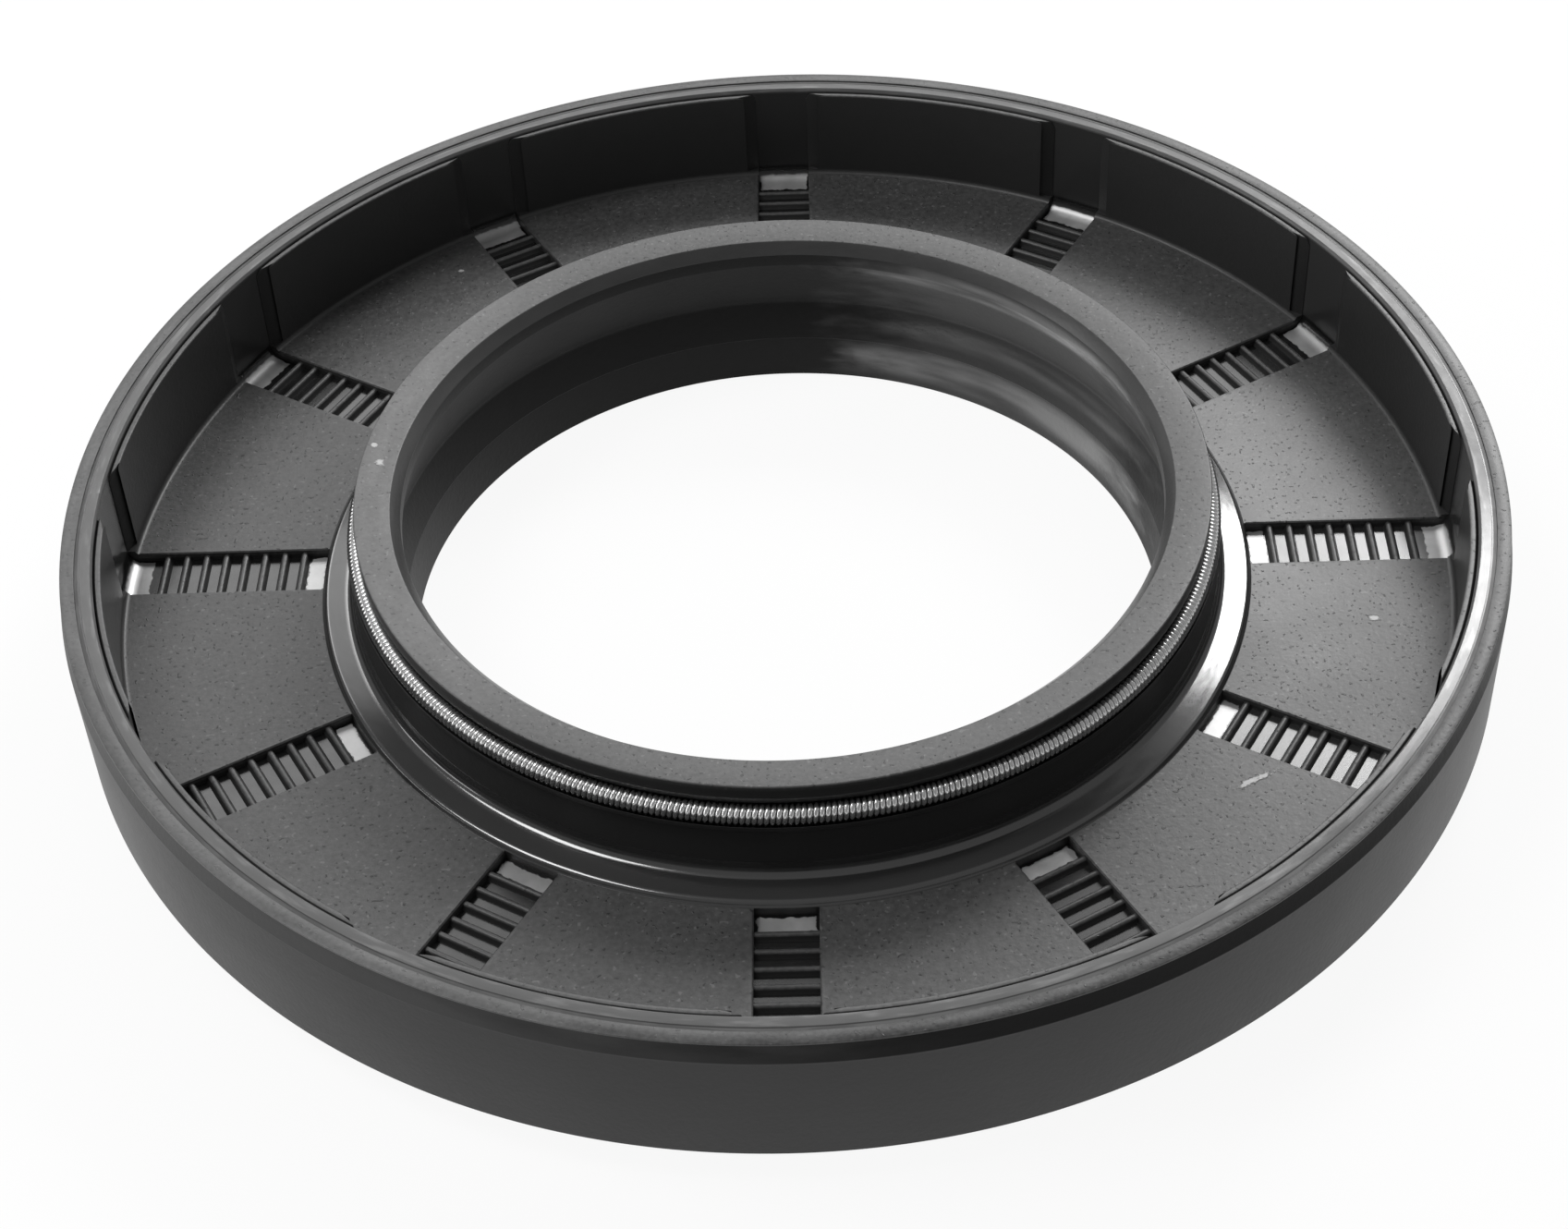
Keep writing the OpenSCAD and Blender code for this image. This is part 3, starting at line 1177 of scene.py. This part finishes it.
@dataclass
class GarterSpring:
    """The spring: one wire wound closely into a coil, bent into a ring and joined.

    Attributes:
        sizes: The seal's sizes.
        coil_r: Outside radius of the coil.
        wire_r: Radius of the wire.
        turns: Number of turns.
        per_turn: Number of pieces in a turn.
        sides: Number of sides of the wire.
    """

    sizes: Sizes
    coil_r: float = 0.78
    wire_r: float = 0.184
    turns: int = 493
    per_turn: int = 12
    sides: int = 8

    def one_turn(self) -> bmesh.types.BMesh:
        """Winds one turn of a straight coil and bends it to the ring.

        Returns:
            The turn as an open tube, in metres.
        """
        ring_r = self.sizes.spring_r
        level = self.sizes.width - self.sizes.spring_drop
        pitch = math.tau * ring_r / self.turns
        bm = bmesh.new()
        bmesh.ops.create_circle(bm, segments=self.sides, radius=self.wire_r)
        bmesh.ops.translate(bm, verts=bm.verts, vec=(0, self.coil_r - self.wire_r, 0))
        bmesh.ops.spin(
            bm,
            geom=list(bm.verts) + list(bm.edges),
            cent=(0, 0, 0),
            axis=(1, 0, 0),
            dvec=(pitch / self.per_turn, 0, 0),
            angle=math.tau,
            steps=self.per_turn,
        )
        for vert in bm.verts:
            turn = vert.co.x / ring_r
            reach = (ring_r + vert.co.y) * MM
            height = (level + vert.co.z) * MM
            vert.co = Vector((reach * math.cos(turn), reach * math.sin(turn), height))
        return bm

    def build(self) -> bpy.types.Object:
        """Repeats the turn around the ring, joins the turns into one closed wire and dresses it.

        Returns:
            The spring.
        """
        bm = repeated_around(self.one_turn(), self.turns)
        bmesh.ops.remove_doubles(bm, verts=bm.verts, dist=0.0005 * MM)
        bmesh.ops.recalc_face_normals(bm, faces=bm.faces)
        spring = new_object("wound_spring", bm)
        smooth(spring, 80)
        spring.data.materials.append(DrawnWire().material())
        return spring


@dataclass
class Studio:
    """Camera, floor and lights.

    Attributes:
        width_px: Width of the photograph's frame.
        focal_px: The camera's focal length in the same pixels.
        distance: Distance from the camera to the aim, in millimetres.
        elevation: Height of the camera above the horizon, in degrees.
        turn: Turn of the camera around the seal's axis, in degrees.
        pan: Turn of the camera to the side, in degrees.
        tilt: Turn of the camera upwards, in degrees.
        roll: Turn of the camera about its own axis, in degrees.
        aim_z: Height of the aim on the seal's axis, in millimetres.
        glow: Share of the floor that shines white where it is seen, so that shadows stay faint.
        room: Strength of the light from all around.
        lamp_distance: Distance from the seal to each lamp, in metres.
    """

    width_px: float = 1697.0
    focal_px: float = 3141.95
    distance: float = 209.03
    elevation: float = 43.034
    turn: float = 1.736
    pan: float = 0.0791
    tilt: float = 0.6693
    roll: float = -2.788
    aim_z: float = 2.78
    glow: float = 0.92
    room: float = 0.28
    lamp_distance: float = 0.7

    def camera(self) -> None:
        """Places the camera where the photograph was taken from."""
        lift = math.radians(self.elevation)
        eye = Vector((0, -self.distance * math.cos(lift), self.distance * math.sin(lift)))
        ahead = -eye.normalized()
        right = Vector((1, 0, 0))
        down = ahead.cross(right)
        look = Matrix((right, down, ahead))
        pan = Matrix.Rotation(math.radians(self.pan), 3, "Y")
        tilt = Matrix.Rotation(math.radians(self.tilt), 3, "X")
        roll = Matrix.Rotation(math.radians(self.roll), 3, "Z")
        look = roll @ tilt @ pan @ look
        pose = Matrix((look[0], -look[1], -look[2])).transposed().to_4x4()
        pose.translation = (eye + Vector((0, 0, self.aim_z))) * MM
        data = bpy.data.cameras.new("camera")
        data.sensor_fit = "HORIZONTAL"
        data.sensor_width = 36.0
        data.lens = self.focal_px / self.width_px * data.sensor_width
        data.clip_start = 0.01
        camera = bpy.data.objects.new("camera", data)
        camera.matrix_world = Matrix.Rotation(math.radians(self.turn), 4, "Z") @ pose
        bpy.context.scene.collection.objects.link(camera)
        bpy.context.scene.camera = camera

    def floor(self) -> None:
        """Lays the pale round floor that shows a faint shadow, and stands a low backdrop around it."""
        r, height, grey = 3.0, 0.9, 0.9
        bm = bmesh.new()
        bmesh.ops.create_circle(bm, cap_ends=True, segments=96, radius=r)
        wall = bmesh.ops.create_cone(bm, cap_ends=False, segments=96, radius1=r, radius2=r, depth=height)
        bmesh.ops.translate(bm, verts=wall["verts"], vec=(0, 0, height / 2))
        floor = new_object("floor", bm)
        graph = Graph("pale_floor")
        matt = graph.node("ShaderNodeBsdfDiffuse", inputs={"Color": (grey, grey, grey, 1)})
        glow = graph.node("ShaderNodeEmission", inputs={"Strength": 1.0})
        path = graph.node("ShaderNodeLightPath").outputs
        rays = ("Is Camera Ray", "Is Glossy Ray", "Is Transmission Ray")
        seen = either(*(Value(graph, path[ray]) for ray in rays))
        shaders = (Value(graph, shader.outputs[0]) for shader in (matt, glow))
        floor.data.materials.append(graph.finish(*shaders, seen * self.glow))

    def world(self) -> None:
        """Sets the soft light from all around."""
        world = bpy.data.worlds.new("soft_white")
        bpy.context.scene.world = world
        world.use_nodes = True
        room = world.node_tree.nodes["Background"]
        room.inputs["Color"].default_value = (1, 1, 1, 1)
        room.inputs["Strength"].default_value = self.room

    def lamp(
        self, name: str, azimuth: float, elevation: float, size: float, watts: float, height: float = 0
    ) -> None:
        """Hangs a soft lamp that faces the seal.

        Args:
            name: The lamp's name.
            azimuth: Its direction in degrees, from behind the seal towards the right.
            elevation: Its height above the horizon, in degrees.
            size: Its width, in metres.
            watts: Its power.
            height: Its height in metres, or 0 for a square one.
        """
        side = math.radians(azimuth - self.turn)
        lift = math.radians(elevation)
        place = Vector((math.sin(side) * math.cos(lift), math.cos(side) * math.cos(lift), math.sin(lift)))
        data = bpy.data.lights.new(name, "AREA")
        data.shape = "RECTANGLE"
        data.size = size
        data.size_y = height or size
        data.energy = watts
        lamp = bpy.data.objects.new(name, data)
        facing = place.to_track_quat("Z", "Y").to_matrix().to_4x4()
        lamp.matrix_world = Matrix.Translation(place * self.lamp_distance) @ facing
        bpy.context.scene.collection.objects.link(lamp)

    def build(self) -> None:
        """Sets up the camera, the floor and the lights."""
        bpy.context.scene.view_settings.view_transform = "Standard"
        self.camera()
        self.floor()
        self.world()
        self.lamp("window", azimuth=30, elevation=39, size=0.2, watts=2.2)
        self.lamp("back_wall", azimuth=-5, elevation=40, size=0.7, watts=2.0, height=0.25)
        self.lamp("ceiling", azimuth=-90, elevation=62, size=0.27, watts=1.7)
        self.lamp("left_wall", azimuth=-90, elevation=14, size=0.3, watts=0.8)


def dress(piece: bpy.types.Object, node: str) -> None:
    """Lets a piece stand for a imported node.

    Args:
        piece: The new piece.
        node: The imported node.
    """
    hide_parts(node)
    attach(piece, "root")
    LOG.info("%s stands for %s with %d faces", piece.name, node, len(piece.data.polygons))


def main() -> None:
    """Builds the seal's pieces and the studio."""
    logging.basicConfig(level=logging.INFO, format="%(name)s: %(message)s")
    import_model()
    sizes = Sizes.from_frame()
    Studio().build()
    dress(SteelCase(sizes).build(), "metal_case")
    dress(RubberBody(sizes).build(), "rubber_body")
    dress(GarterSpring(sizes).build(), "garter_spring")


if __name__ == "__main__":
    main()
